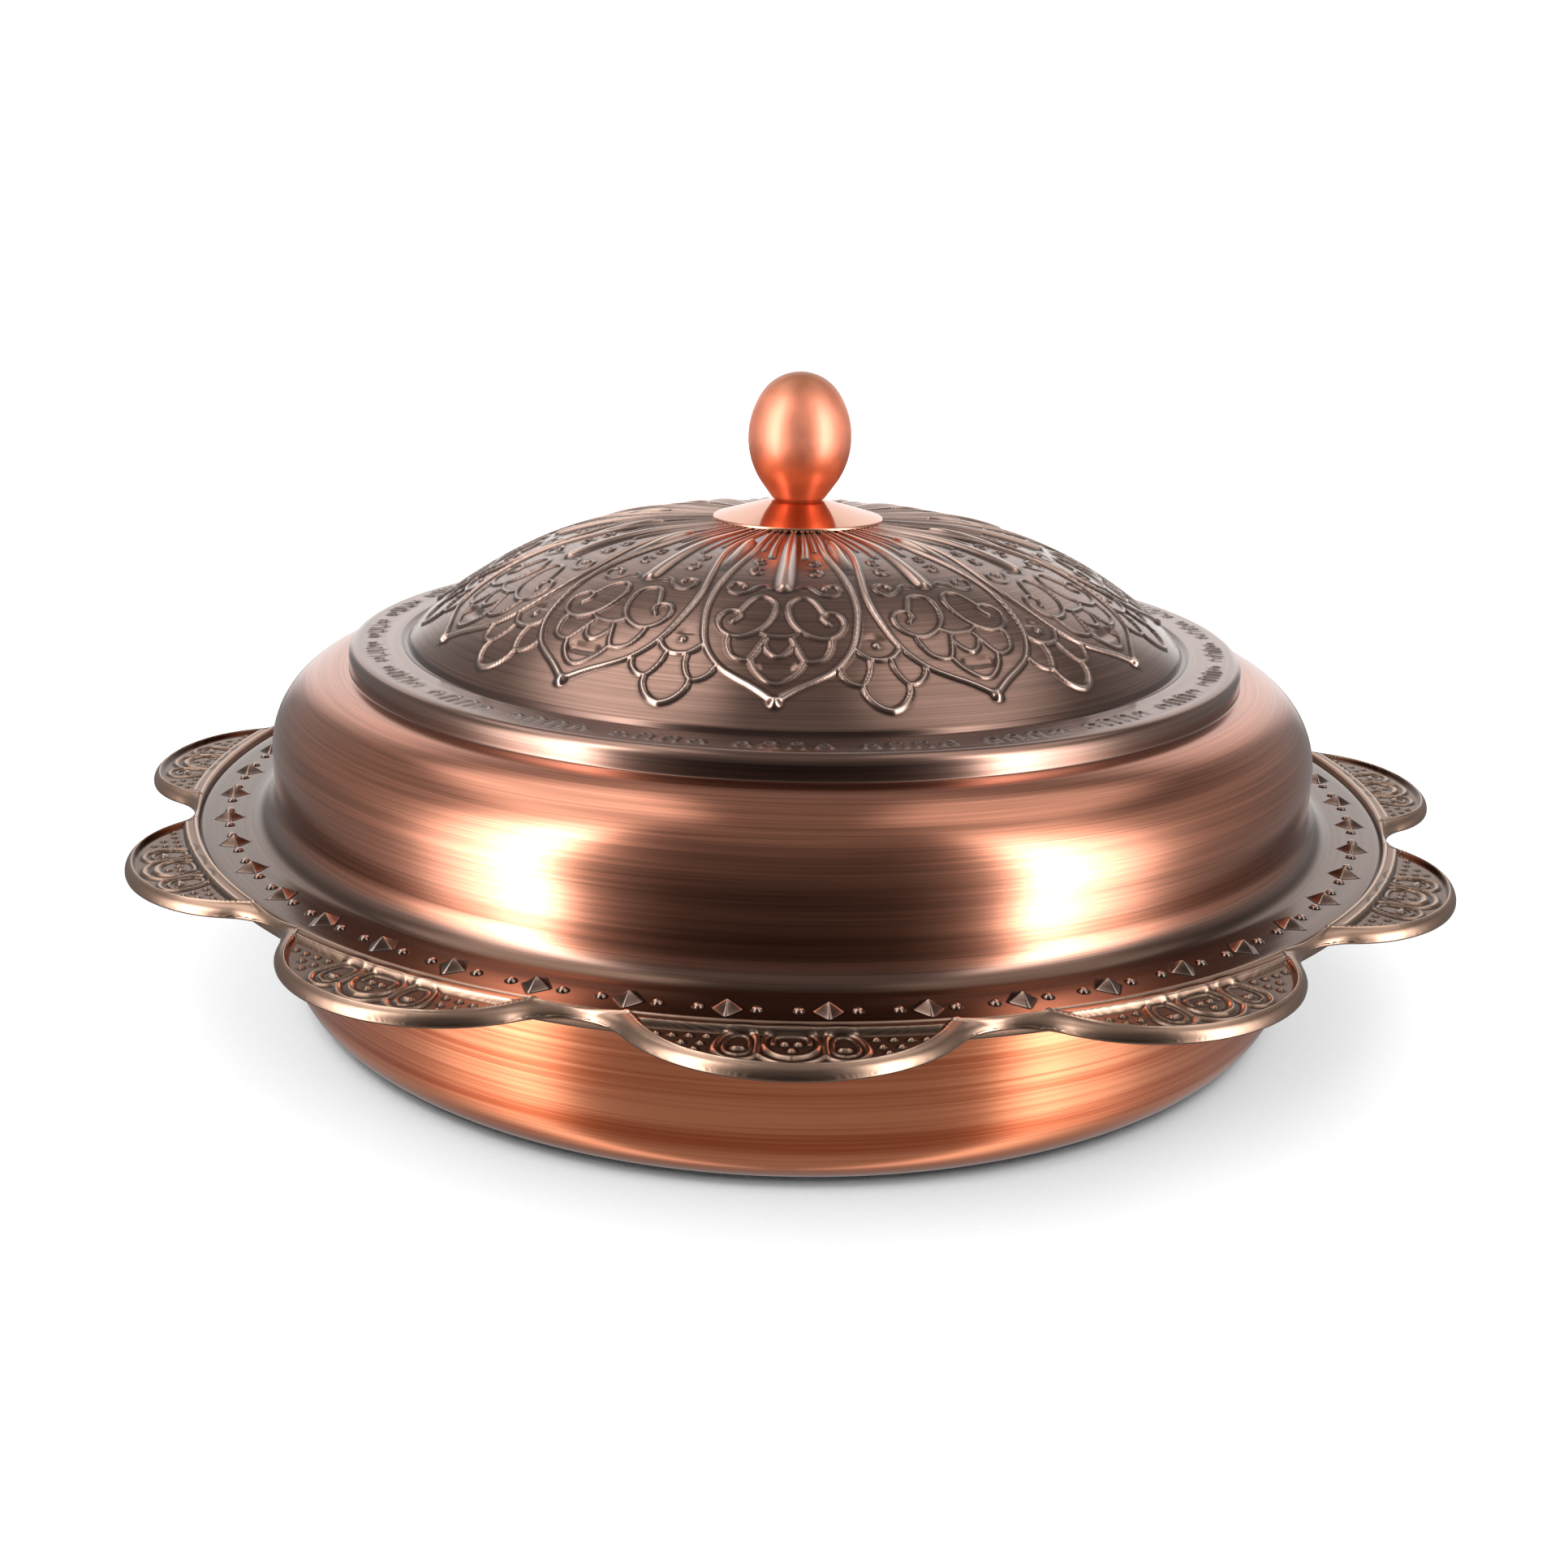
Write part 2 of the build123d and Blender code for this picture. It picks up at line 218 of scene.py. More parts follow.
# One petal, right half: degrees from its middle line and mm from the axis, 15 degrees being half way to
# the next petal. Then the ridge's half width and its height in mm, as one value or several along the path
petal = {
    "count": 12, "turn": -2.4,
    "strokes": [
        # outline, ball at its tip
        ([(12.6, 16.5), (12.1, 20.5), (11.4, 25), (10.9, 30), (11.1, 35), (12, 39), (13.1, 44), (13.8, 49),
         (13.55, 54), (12.45, 59), (11.35, 62), (9.8, 64.4), (7.9, 66.3), (5.8, 67.6), (3.4, 68.9),
         (1.7, 70), (0, 71.3)], (0.55, 0.68, 0.62, 0.58, 0.7), (0.35, 0.5, 0.48, 0.46, 0.52)),
        ([(0, 71.2), (0, 71.5)], 1.3, 0.85),
        # club in the middle and the flutes beside it
        ([(0, 16.5), (0, 24), (0, 32), (0, 40), (0, 45), (0, 47)], (0.75, 1.05, 1.35, 1.65, 1.9, 1.9),
         (0.35, 0.5, 0.65, 0.75, 0.75, 0.7)),
        ([(5.6, 16.5), (5.3, 24), (5, 31), (4.7, 35.5)], (0.45, 0.6, 0.8), (0.28, 0.35, 0.3)),
        ([(9.2, 16.5), (8.6, 22), (8.2, 27), (8, 32)], (0.4, 0.5, 0.5), (0.25, 0.3, 0.2)),
        # curls
        ([(6.5, 37.1), (7.7, 37), (8.3, 37.9), (7.6, 38.8), (6.4, 38.8), (6, 38.1)], 0.42,
         (0.32, 0.3, 0.22)),
        ([(6, 40.9), (7.2, 40.7), (8.2, 41.3), (8, 42.5), (7, 42.9), (5.9, 42.6)], 0.42, (0.2, 0.34, 0.34)),
        ([(2.3, 47.6), (3.4, 46.9), (4.5, 46.8), (5.6, 47.3), (6.7, 48.5), (7.9, 49.3), (9.2, 49.6),
         (10.5, 49.2), (11.3, 48.2), (11.2, 47.1), (10.5, 46.5), (9.5, 46.4), (8.5, 46.8), (8.2, 47.4)],
         (0.4, 0.46, 0.46, 0.46, 0.58), (0.12, 0.2, 0.22, 0.3, 0.4)),
        ([(1.8, 48.9), (3, 48.2), (4.4, 48), (5.7, 48.9)], 0.6, -0.22),
        # scroll
        ([(7.4, 54.3), (6.9, 53.2), (6.3, 51.9), (5.4, 50.7), (4.3, 50.15), (3.2, 50.2), (2, 50.9),
         (1.25, 52.1), (1.15, 53.5), (1.5, 55.3), (2.2, 57), (3.3, 58.4), (4.8, 59.5), (6.6, 60.1),
         (8.3, 59.8), (9.7, 58.8), (10.55, 57.3), (10.6, 55.9), (10, 54.8), (8.9, 54.2), (7.8, 54.3),
         (7.15, 54.9), (7.2, 55.8), (8.05, 56.9)], 0.5, 0.34),
        ([(3.3, 58.8), (1.8, 59.6), (0, 59.8)], 0.5, 0.24),
        # leaves below it
        ([(8.1, 60), (8, 61.5), (7.5, 62.9), (6.8, 63.9), (5.6, 64.5), (4.4, 64.6), (3.8, 64.2),
         (3.2, 63.1), (2.6, 61.6), (2, 60.2)], 0.48, 0.3),
        ([(4, 64.5), (3.2, 66.1), (2.1, 67.4), (0.9, 68.3), (0, 68.5)], 0.48, 0.3),
        ([(2.2, 61.6), (1.6, 62.7), (0.8, 63.5), (0, 63.8)], 0.55, (0.2, 0.4)),
        ([(1.7, 65.6), (0, 65.7)], 1.7, -0.35),
        # between two petals: leaf under the rosette, bead in its nest, three cells
        ([(15, 26.8), (15, 29), (15, 32), (15, 36), (15, 41)], (0.8, 1.35, 1.5, 1.6, 1.8),
         (0.7, 0.85, 0.75, 0.45, 0.05)),
        ([(15, 61.4), (15, 61.6)], 0.8, 0.6),
        ([(15, 60.6), (15, 62.2)], 2.4, -0.2),
        ([(11.6, 62.4), (12.6, 63.5), (13.7, 64.15), (15, 64.35)], 0.52, 0.38),
        ([(13.45, 64.3), (13.3, 65.8), (12.9, 67), (12.35, 68), (11.8, 68.6)], 0.48, 0.36),
        ([(8.7, 66.1), (9.2, 67.3), (10.1, 68.2), (11, 68.6), (11.8, 68.6)], 0.48, 0.36),
        ([(11.8, 68.6), (11.9, 69.8), (12.6, 71.1), (13.7, 72.1), (15, 72.6)], (0.5, 0.55, 0.7), 0.42),
    ],
}

# Small arches round the ledge, in groups of four: degrees from the group's middle, their R from and to
ledgeMarks = {"groups": 26, "turn": -0.95, "middleR": 82, "half": 0.36, "rise": 0.27, "wide": 1.1,
              "marks": [(-4.42, 81.0, 82.8), (-1.48, 80.3, 83.4), (1.48, 80.3, 83.4), (4.42, 81.0, 82.8)]}


def domeHeight(r):
    # two tangent arcs, the dome's nearly flat crown and its rounder side
    crownZ = lid["domeBaseZ"] + lid["domeRise"] - lid["crownRound"]
    gap = lid["crownRound"] - lid["sideRound"]
    baseHigh = lid["domeBaseZ"] - crownZ
    baseFar = hypot(lid["domeR"], baseHigh)
    between = acos((gap ** 2 + baseFar ** 2 - lid["sideRound"] ** 2) / (2 * gap * baseFar))
    lean = atan2(lid["domeR"], baseHigh) - between
    side = crownZ + gap * cos(lean) + np.sqrt(lid["sideRound"] ** 2 - (r - gap * sin(lean)) ** 2)
    crown = crownZ + np.sqrt(lid["crownRound"] ** 2 - r ** 2)
    return np.where(r < lid["crownRound"] * sin(lean), crown, side)


def meridian(r):
    # length along the dome from its middle to radius r
    table = np.linspace(0, lid["domeR"], 600)
    steps = np.hypot(np.diff(table), np.diff(domeHeight(table)))
    return np.interp(r, table, np.concatenate([[0], np.cumsum(steps)]))


def petalRelief(r):
    # relief of half a petal, mirrored and repeated round the dome: rows follow r
    columns = lid["columns"] // petal["count"] // 2
    angle = np.radians(np.linspace(0, 180 / petal["count"], columns + 1))
    across = r[:, None] * angle[None]
    grid = np.stack([across, np.broadcast_to(meridian(r)[:, None], across.shape)], -1)
    lines = []
    for path, half, rise in petal["strokes"]:
        turn, far = np.array(path, float).T
        lines.append(strokeLine(np.column_stack([far * np.radians(turn), meridian(far)]), half, rise))
    fields = []
    for field in pressed(grid, lines):
        sector = np.hstack([field[:, :0:-1], field[:, :-1]])
        fields.append(np.tile(sector, petal["count"]))
    return fields


def ledgeRelief(r):
    angle = np.linspace(0, 360, lid["columns"], endpoint=False) - 180 / petal["count"] + petal["turn"]
    pitch = 360 / ledgeMarks["groups"]
    local = (angle - ledgeMarks["turn"] + pitch / 2) % pitch - pitch / 2
    across = np.radians(local)[None] * r[:, None]
    grid = np.stack([across, np.broadcast_to(r[:, None], across.shape)], -1)
    lines = []
    for turn, start, end in ledgeMarks["marks"]:
        middle, wide = ledgeMarks["middleR"] * radians(turn), ledgeMarks["wide"]
        arch = arcPoints((middle, start + wide), wide, 180, 360, 14)
        points = np.vstack([[(middle - wide, end)], arch, [(middle + wide, end)]])
        lines.append(strokeLine(points, ledgeMarks["half"], ledgeMarks["rise"]))
    return pressed(grid, lines)


def lidProfiles():
    # outside from the screw hole to the flange's edge, inside from the edge back to the hole
    s, wallR, seatZ, topZ, ledgeZ = (lid[k] for k in ("sheet", "wallR", "seatZ", "shoulderTopZ", "ledgeZ"))
    shoulderR, shoulderZ = wallR - lid["shoulderRound"], topZ - lid["shoulderRound"]
    ledgeIn, grooveHalf = lid["domeR"] + lid["grooveWidth"], lid["grooveWidth"] / 2
    grooveMid = lid["domeR"] + grooveHalf
    footX, footZ = wallR + lid["footBend"], seatZ + s + lid["footBend"]
    lipR, lipZ = shoulderR - lid["ledgeRound"], ledgeZ - lid["ledgeRound"]
    edgeR, edgeRound = lid["flangeR"], 0.3
    table = np.linspace(0, 75, 600)
    evenly = np.arange(meridian(lid["reliefFrom"]), meridian(lid["reliefTo"]), lid["reliefStep"])
    domeR = np.concatenate([np.linspace(lid["holeR"], lid["reliefFrom"], 8)[:-1],
                            np.interp(evenly, meridian(table), table),
                            np.linspace(lid["reliefTo"], lid["domeR"], 5)])
    groove = np.linspace(lid["domeR"], ledgeIn, 9)[1:]
    grooveZ = ledgeZ - lid["grooveDepth"] * (1 - ((groove - grooveMid) / grooveHalf) ** 2)
    fine = np.vstack([np.column_stack([domeR, domeHeight(domeR)]), np.column_stack([groove, grooveZ]),
                      linePoints((ledgeIn, ledgeZ), (lid["joinR"], ledgeZ), 24)])
    plain = np.vstack([
        [(lid["joinR"], ledgeZ)],
        arcPoints((lipR, lipZ), lid["ledgeRound"], 90, 0, 10),
        linePoints((shoulderR, lipZ), (shoulderR, topZ + 0.25), 3),
        arcPoints((shoulderR + 0.25, topZ + 0.25), 0.25, 180, 270, 4)[1:],
        arcPoints((shoulderR, shoulderZ), lid["shoulderRound"], 88, 0, 26),
        linePoints((wallR, shoulderZ), (wallR, footZ), 4),
        arcPoints((footX, footZ), lid["footBend"], 180, 270, 12)[1:],
        linePoints((footX, seatZ + s), (edgeR - edgeRound, seatZ + s), 6),
        arcPoints((edgeR - edgeRound, seatZ + s - edgeRound), edgeRound, 90, 0, 4)[1:],
        [(edgeR, seatZ)],
    ])
    insideDome = np.linspace(lid["domeR"] - 0.4, lid["holeR"], 120)
    inside = np.vstack([
        [(edgeR, seatZ)],
        linePoints((edgeR, seatZ), (footX, seatZ), 3),
        arcPoints((footX, footZ), lid["footBend"] + s, 270, 180, 10)[1:],
        linePoints((wallR - s, footZ), (wallR - s, shoulderZ), 3),
        arcPoints((shoulderR, shoulderZ), lid["shoulderRound"] - s, 0, 90, 16)[1:],
        [(shoulderR - s, topZ - s + 0.2)],
        linePoints((shoulderR - s, topZ - s), (shoulderR - s, ledgeZ - s - 0.3), 2),
        linePoints((shoulderR - s - 0.3, ledgeZ - s), (ledgeIn, ledgeZ - s), 4),
        linePoints((ledgeIn, ledgeZ - s - 0.3), (grooveMid, ledgeZ - s - lid["grooveDepth"]), 2),
        np.column_stack([insideDome, domeHeight(insideDome) - s]),
        [(lid["holeR"], domeHeight(lid["holeR"]))],
    ])
    return fine, plain, inside


def makeLid():
    fine, plain, inside = lidProfiles()
    turn = petal["turn"] - 180 / petal["count"]
    rise, crest, shelter = (np.zeros((len(fine), lid["columns"])) for _ in range(3))
    onDome = fine[:, 0] <= lid["domeR"]
    onLedge = fine[:, 0] > lid["domeR"] + lid["grooveWidth"]
    for rows, relief in ((onDome, petalRelief), (onLedge, ledgeRelief)):
        for field, part in zip((rise, crest, shelter), relief(fine[rows, 0])):
            field[rows] = part
    shelter *= lid["shade"]
    # painted shade: the groove round the dome's foot is darkened all the way round
    shelter[np.abs(fine[:, 0] - lid["domeR"] - lid["grooveWidth"] / 2) < lid["grooveShade"]] = lid["shade"]
    out, up = np.split(profileNormals(fine), 2, axis=1)
    outer = {"points": ringGrid(fine[:, :1] + rise * out, fine[:, 1:] + rise * up, turn),
             "crest": crest, "shelter": shelter, "patina": np.full(rise.shape, lid["patina"])}
    bath = np.clip((plain[:, :1] - lid["bathR"]) / lid["bathFade"], 0, 1)
    bath = bath + lid["patina"] * (plain[:, :1] < lid["brushedFrom"])
    lower = {"points": ringGrid(plain[:, :1], plain[:, 1:], turn, lid["plainColumns"]),
             "patina": bath * np.ones((1, lid["plainColumns"]))}
    # the same relief shows hollow from inside
    seen = rise[onDome, ::lid["columns"] // lid["insideColumns"]]
    hollow = np.column_stack([np.interp(inside[:, 0], fine[onDome, 0], column, left=0, right=0)
                              for column in seen.T])
    hollow[inside[:, 0] > lid["domeR"] - 0.5] = 0
    hollow[-1] = 0
    under = {"points": ringGrid(inside[:, :1] + 0 * hollow, inside[:, 1:] + lid["hollow"] * hollow, turn)}
    return buildPiece("lid_shell_pressed", [outer, lower, under])


# Four-sided studs between small beads on the flange, each in a flat ring of painted shadow. Rows run from
# the top
# outwards: share of the radius, height, polish, and dark patina, the last two rows being the painted shadow
# ring
studs = {
    "count": 48, "turn": -0.55, "ringR": 110.0, "long": 5.6, "wide": 4.6, "rise": 1.6, "edge": 12.0,
    "share": [0.001, 0.08, 0.35, 0.65, 0.9, 1.0, 1.03, 1.22],
    "high": [0.97, 0.93, 0.68, 0.38, 0.14, 0.05, 0.015, 0.01],
    "crest": [0.8, 0.5, 0.2, 0.1, 0.2, 0.5, 0.0, 0.0], "edgeCrest": 0.6, "blunt": 0.95,
    "shelter": [0, 0.1, 0.35, 0.4, 0.35, 0.1, 1.0, 0.8], "lidSideShade": 0.3,
}
# the foot row and the flat skirt row round each bead are a painted shadow
beads = {"r": 0.85, "turn": 2.2, "rise": 0.62, "skirt": 1.35, "columns": 14,
         "crest": [0.9, 0.9, 0.7, 0.4, 0.1, 0.0, 0.0], "shelter": [0, 0, 0, 0.1, 0.5, 1.0, 0.8]}


def onFlange(turns, x, y, high, **values):
    # a sheet at each stud's place, moved on by turns: x outwards, y sideways, high above the flange
    top = lid["seatZ"] + lid["sheet"]
    sheets = []
    for k in range(studs["count"]):
        for turn in turns:
            a = radians(studs["turn"] + (k + 0.5) * 360 / studs["count"] + turn)
            out = np.array([sin(a), -cos(a), 0])
            side = np.array([cos(a), sin(a), 0])
            points = out * studs["ringR"] + x[..., None] * out + y[..., None] * side
            points[..., 2] = top + high
            sheets.append({"points": points, "patina": np.ones(x.shape), **values})
    return sheets


def makeStuds():
    # a pyramid with narrow rounded edges, apex first, then its flat ring of painted shadow
    angles = np.radians([corner + step for corner in (0, 90, 180, 270)
                         for step in (-studs["edge"], 0, studs["edge"], 45)])
    reach = 1 / (np.abs(np.cos(angles)) * 2 / studs["long"] + np.abs(np.sin(angles)) * 2 / studs["wide"])
    reach[1::4] *= studs["blunt"]
    share, high, crest, shelter = (np.array(studs[k])[:, None] + 0 * angles
                                   for k in ("share", "high", "crest", "shelter"))
    crest[:6, 1::4] = studs["edgeCrest"]
    # painted shade on the facets that face the lid's wall
    shelter = np.minimum(shelter + studs["lidSideShade"] * (np.cos(angles) < -0.1), 1)
    sheets = onFlange([0], share * reach * np.cos(angles), share * reach * np.sin(angles),
                      high * studs["rise"], crest=crest, shelter=shelter)
    return buildPiece("flange_studs", sheets)


def makeBeads():
    lift = np.radians(np.linspace(90, 0, len(beads["crest"]) - 1))
    around = np.linspace(0, 2 * pi, beads["columns"], endpoint=False)
    r = np.append(np.cos(lift) * beads["r"], beads["r"] * beads["skirt"])[:, None]
    high = np.append(np.sin(lift) * beads["rise"] + 0.012, 0.01)[:, None] + 0 * around
    crest, shelter = (np.array(beads[k])[:, None] + 0 * around for k in ("crest", "shelter"))
    sheets = onFlange([-beads["turn"], beads["turn"]], r * np.cos(around), r * np.sin(around), high,
                      crest=crest, shelter=shelter)
    return buildPiece("flange_beads", sheets)


# The scalloped rim: seat, step, sunk panels and rolled border
rim = {
    "lobes": 12, "centreR": 106.8, "halfWidth": 26.4, "reach": 22.5, "valleyR": 12.0, "turn": 0.45,
    "innerR": 104.5, "stepR": 115.4, "stepRound": 0.35, "panelR": 117.6, "panelWall": 0.45, "sheet": 1.0,
    "seatZ": 35.0, "panelZ": 36.1, "topZ": 37.2, "lowZ": 35.0, "edgeZ": 35.35,
    "border": 1.25, "borderWide": 3.0, "widenFrom": 13.0, "widenOver": 11.0, "borderWall": 0.5,
    "beadRise": 0.24, "beadHalf": 0.42, "stepBead": (0.5, 0.2), "bandBead": (-0.15, 0.08),
    "loopsFoot": 115.1, "loopsFrom": 117.1, "loopsScale": 0.91, "loopsWide": 1.18, "ornament": 0.8,
    "floorShade": 0.35, "wallShade": 1.6, "slopeShade": 0.6, "edgeBuff": 0.25,
    "columns": 96,            # to half a lobe
    "rows": 56, "rollRows": 16, "rollFrom": 0.86,
}
# Panel ornament, right half: mm from the lobe's middle line and mm from the axis, loopsFoot at its foot
panelLoops = [
    # crescent and frame of the middle shield
    ([(3.75, 119.4), (3.1, 121.3), (1.8, 122.7), (0, 123.3)], (0.35, 0.8), 0.55),
    ([(3.75, 119.4), (3.85, 118.2), (3.6, 117), (2.9, 115.9), (1.6, 115.3), (0, 115.1)], 0.4, 0.36),
    ([(2.5, 119), (2.45, 117.8), (2.2, 117), (1.2, 116.6), (0, 116.5)], 0.32, 0.4),
    ([(4.75, 122.2), (3.6, 123.7), (2, 124.9), (0, 125.4)], (0.45, 0.62), 0.5),
    # side loop's outer and inner ring, then the dots inside
    ([(4.75, 122.2), (5.6, 123.5), (7.3, 124.1), (9.2, 123.4), (10.3, 121.6), (10.4, 119.8), (9.9, 117.9),
     (9.2, 116.4), (8, 115.4), (6.6, 115.1), (5.4, 115.6), (4.8, 116.8), (4.6, 118.6), (4.7, 120.6),
     (4.75, 122.2)], 0.5, 0.45),
    ([(7.3, 122.6), (8.7, 121.9), (9.2, 120.2), (8.9, 118.2), (8.2, 116.8), (7, 116.4), (6, 116.9),
     (5.6, 118.4), (5.6, 120.4), (6.1, 121.9), (7.3, 122.6)], 0.3, 0.35),
    ([(6.85, 120.5), (7.65, 120.5)], 0.68, 0.55),
    ([(0.9, 119), (0.95, 119)], 0.6, 0.6),
    ([(0, 121), (0, 121.05)], 0.6, 0.6),
]
# dots in the panel's corners, in the same millimetres but not moved with the loops
panelDots = {"half": 0.6, "rise": 0.6, "at": [(11.6, 118.7), (14, 118.6), (16.4, 118.5), (18.6, 118.2),
                                              (12.4, 120.8), (15, 120.6), (13.2, 122.5)]}


def halfOutline():
    # right half of one lobe, from its tip to the middle of the valley, and the length along it
    t = np.linspace(0, pi / 2, 4000)
    ellipse = np.column_stack([rim["halfWidth"] * np.sin(t), rim["centreR"] + rim["reach"] * np.cos(t)])
    outward = np.column_stack([np.sin(t) / rim["halfWidth"], np.cos(t) / rim["reach"]])
    outward /= np.linalg.norm(outward, axis=1, keepdims=True)
    offset = ellipse + rim["valleyR"] * outward
    valley = pi / rim["lobes"]
    touch = np.argmax(np.arctan2(offset[:, 0], offset[:, 1]) >= valley)
    centre = offset[touch]
    start = atan2(*(ellipse[touch] - centre)[::-1])
    end = atan2(-cos(valley), -sin(valley))
    turn = np.linspace(start, end, 400)
    hollow = centre + rim["valleyR"] * np.column_stack([np.cos(turn), np.sin(turn)])
    line = np.vstack([ellipse[:touch], hollow])
    along = np.concatenate([[0], np.cumsum(np.linalg.norm(np.diff(line, axis=0), axis=1))])
    return line, along


def nearestGap(points, line):
    # distance from each point to the outline, in blocks to spare memory
    blocks = np.array_split(points.reshape(-1, 2), 24)
    gaps = [np.linalg.norm(block[:, None] - line[None], axis=-1).min(1) for block in blocks]
    return np.concatenate(gaps).reshape(points.shape[:-1])


def softStep(value):
    # from 0 to 1, level at both ends
    return 0.5 - 0.5 * np.cos(pi * np.clip(value, 0, 1))


def roundTop(value):
    # from 0 at -1 up to 1 and down to 0 at 1
    return 0.5 + 0.5 * np.cos(pi * np.clip(value, -1, 1))


def borderHeight(points, gap):
    # rolled border: a quarter round up from its edge, a small bead at its top, then the panel's wall.
    # It is narrow at the lobe's tip and widens towards the valleys.
    side = np.clip((np.abs(points[..., 0]) - rim["widenFrom"]) / rim["widenOver"], 0, 1)
    width = rim["border"] + (rim["borderWide"] - rim["border"]) * side ** 2
    share = gap / width
    roll = rim["edgeZ"] + (rim["topZ"] - rim["edgeZ"]) * np.sqrt(1 - (1 - np.clip(share, 0, 1)) ** 2)
    bead = rim["beadRise"] * (roundTop((gap - width) / rim["beadHalf"]) - 0.5)
    fall = softStep((gap - width - 0.1) / rim["borderWall"])
    return roll + bead - (rim["topZ"] - rim["panelZ"]) * fall, share, width


def wholeRim(plan, z, *fields):
    # half a lobe, mirrored and repeated all round; azimuth 0 is -Y
    def mirrored(half, sign=1):
        return np.concatenate([sign * half[:, :0:-1], half[:, :-1]], axis=1)
    x, y, z = mirrored(plan[..., 0], -1), mirrored(plan[..., 1]), mirrored(z)
    turns = radians(rim["turn"]) + 2 * pi * np.arange(rim["lobes"]) / rim["lobes"]
    rings = [np.stack([x * cos(a) + y * sin(a), x * sin(a) - y * cos(a), z], -1) for a in turns]
    return [np.concatenate(rings, axis=1)] + [np.tile(mirrored(field), rim["lobes"]) for field in fields]


def rimOrnament(flat, band):
    # loops and dots pressed up from the panel; they fade on the band beside the step
    lines = [strokeLine([(x, y), (x + 0.05, y)], panelDots["half"], panelDots["rise"])
             for x, y in panelDots["at"]]
    for path, half, rise in panelLoops:
        path = np.array(path, float)
        path[:, 1] = rim["loopsFrom"] + (path[:, 1] - rim["loopsFoot"]) * rim["loopsScale"]
        lines.append(strokeLine(path, rim["loopsWide"] * np.array(half), rise, 0.08))
    rise, crest, shelter = pressed(flat, lines)
    return rim["ornament"] * rise * (1 - 0.8 * band), 0.6 * crest * (1 - 0.6 * band), shelter


def rimTop(flat, gap):
    # height, polish and dirt of the rim from the step to its edge, for half a lobe
    far = np.linalg.norm(flat, axis=-1)
    border, share, width = borderHeight(flat, gap)
    band = softStep((rim["panelR"] + rim["panelWall"] - far) / rim["panelWall"])
    floor = rim["panelZ"] + (rim["topZ"] - rim["panelZ"]) * band
    plain = np.where(share > 1, np.maximum(floor, border), border)
    rise, crest, shelter = rimOrnament(flat, band)
    # panels and the foot of their walls keep more of the dark finish
    inPanel = share > 1.02
    sunk = np.clip((rim["topZ"] - plain) / (rim["topZ"] - rim["panelZ"]), 0, 1) * inPanel
    wall = np.clip(1 - np.abs(gap - width - 0.55 * rim["borderWall"]) / (0.75 * rim["borderWall"]), 0, 1)
    wall = np.maximum(wall, rim["slopeShade"] * 4 * band * (1 - band) * inPanel)
    for dirt in (rim["floorShade"] * sunk, np.minimum(rim["wallShade"] * wall, 1)):
        shelter = np.maximum(shelter, dirt)
    # the roll is buffed, most of all on the bead at its inner edge
    buffed = rim["edgeBuff"] * np.clip((1.1 - share) / 0.1, 0, 1)
    crest = np.maximum(crest, np.maximum(buffed, np.clip(1 - np.abs(gap - width + 0.15) / 0.35, 0, 1)))
    height = plain + rise
    # beads along the step and, between the borders, along the band's outer edge
    offStep, stepHigh = rim["stepBead"]
    offBand, bandHigh = rim["bandBead"]
    stepBead = roundTop((far - rim["stepR"] - offStep) / 0.5)
    bandBead = roundTop((far - rim["panelR"] - offBand) / 0.5) * np.clip((gap - width - 0.4) / 0.6, 0, 1)
    for bead, high in ((stepBead, stepHigh), (bandBead, bandHigh)):
        height = height + high * bead
        crest = np.maximum(crest, 0.8 * bead)
    r = rim["stepRound"]
    rounded = height - r + np.sqrt(np.maximum(r ** 2 - (rim["stepR"] + r - far) ** 2, 0))
    return np.where(far < rim["stepR"] + r, rounded, height), crest, shelter


